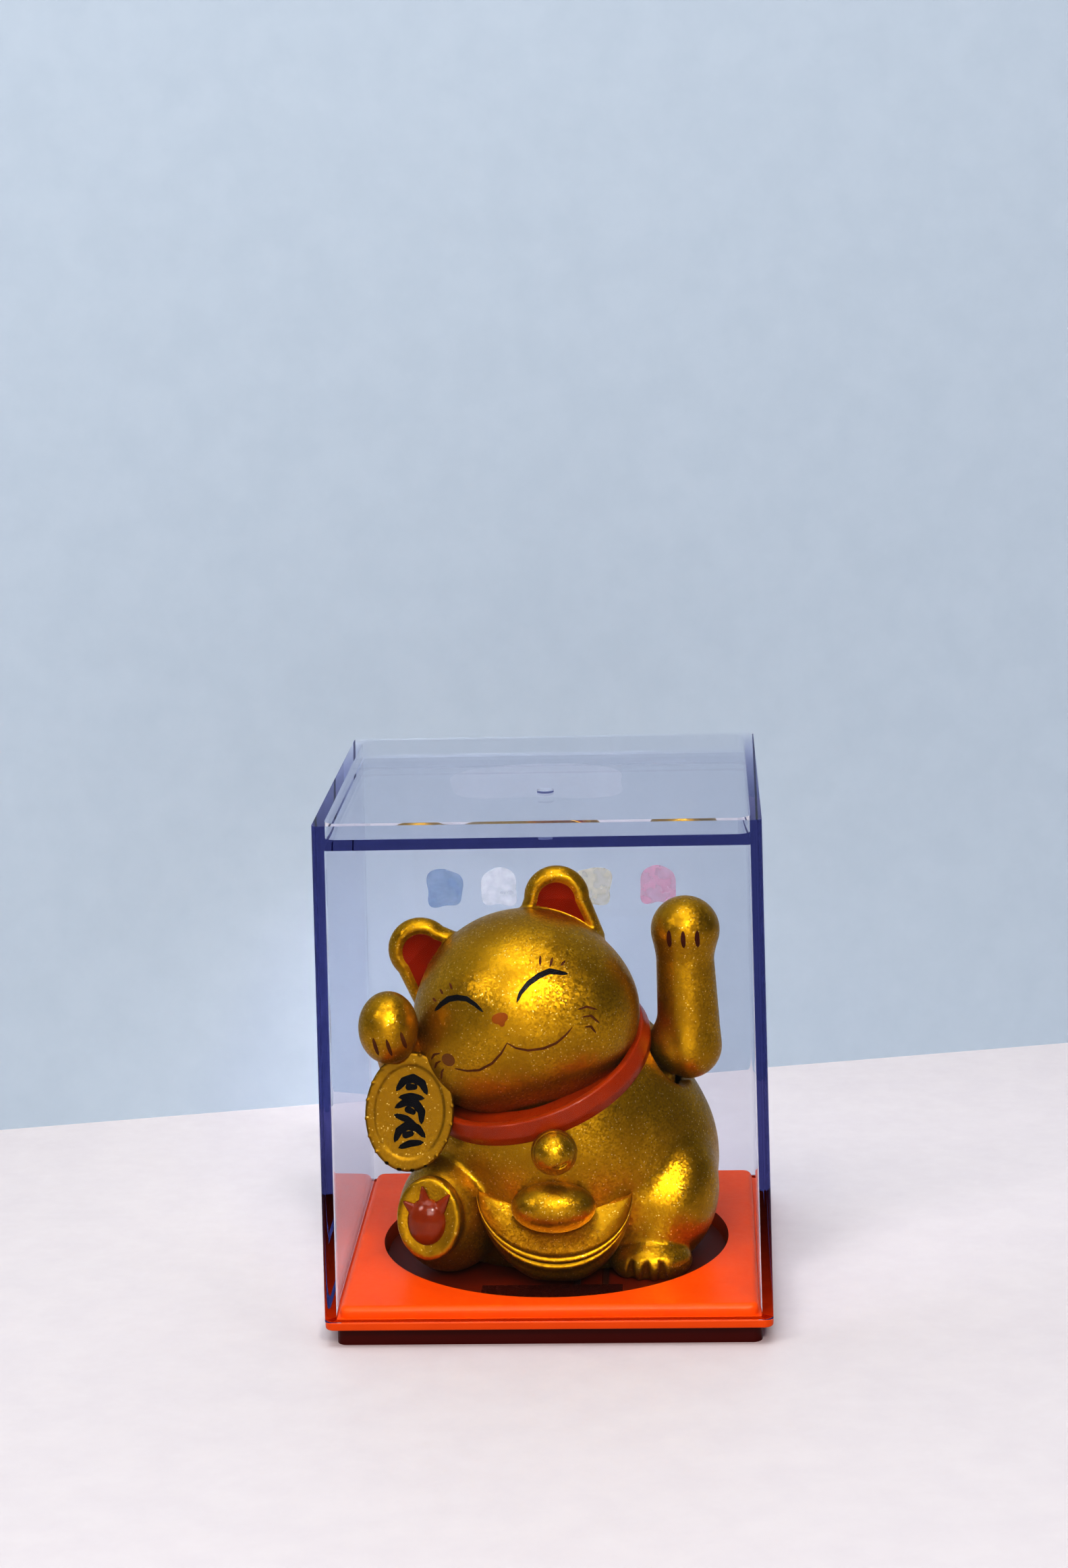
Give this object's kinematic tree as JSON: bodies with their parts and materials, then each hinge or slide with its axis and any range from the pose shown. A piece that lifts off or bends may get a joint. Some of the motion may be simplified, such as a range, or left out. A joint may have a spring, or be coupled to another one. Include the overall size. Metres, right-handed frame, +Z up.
{
  "type": "beckoning cat figurine",
  "caption": "Gold beckoning cat with a swinging arm and a coin, on a round base in an orange tray under a clear lift-off cover.",
  "frame": {"origin": "centre of the tray's foot, on the surface it stands on", "axes": "+Z up, the cat faces -Y, +X to the viewer's right when looking at the cat's face"},
  "size_m": [0.062, 0.062, 0.074],
  "materials": {
    "orange_plastic": "satin moulded, orange-red",
    "clear_plastic": "clear moulded plastic, polished",
    "label_film": "clear film with pale printed dots",
    "dark_plastic": "glossy, near black brown",
    "gold_paint": "satin metallic gold paint with fine flake, on moulded plastic",
    "collar_red": "glossy orange-red",
    "coin_gold": "satin gold paint on moulded plastic, with dark painted marks",
    "cell_glass": "dark, glossy",
    "grey_plastic": "plain moulded",
    "steel": "plated",
    "brass_bush": "turned",
    "board_green": "solder mask",
    "chip_black": "matt",
    "copper": "enamelled copper",
    "can_grey": "sleeved can"
  },
  "bodies": {
    "figure": {"tray": "orange_plastic", "base_plate": "dark_plastic", "base_screws": "steel", "solar_cell": "cell_glass", "cell_strips": "copper", "swing_frame": "grey_plastic", "frame_screws": "steel", "circuit_board": "board_green", "driver_chip": "chip_black", "storage_capacitor": "can_grey", "coil_bobbin": "chip_black", "coil_winding": "copper", "collar": "collar_red", "bell": "gold_paint", "koban": "coin_gold", "ingot": "gold_paint", "body_front_shell": "gold_paint", "body_rear_shell": "gold_paint", "head_front_shell": "gold_paint", "head_rear_shell": "gold_paint", "axle_bushes": "brass_bush"},
    "arm": {"arm_front_half": "gold_paint", "arm_rear_half": "gold_paint", "arm_axle": "steel", "pendulum_lever": "grey_plastic", "swing_magnet": "steel", "counterweight": "steel"},
    "cover": {"case_cover": "clear_plastic", "rear_label": "label_film"}
  },
  "joints": [
    {"name": "arm_swing", "type": "hinge", "parent": "figure", "child": "arm", "pos_m": [0.016, 0.0005, 0.027], "axis": [1, 0, 0], "range_deg": [-15, 15]},
    {"name": "cover_lift", "type": "slide", "parent": "figure", "child": "cover", "axis": [0, 0, 1], "range_m": [0, 0.07]}
  ]
}
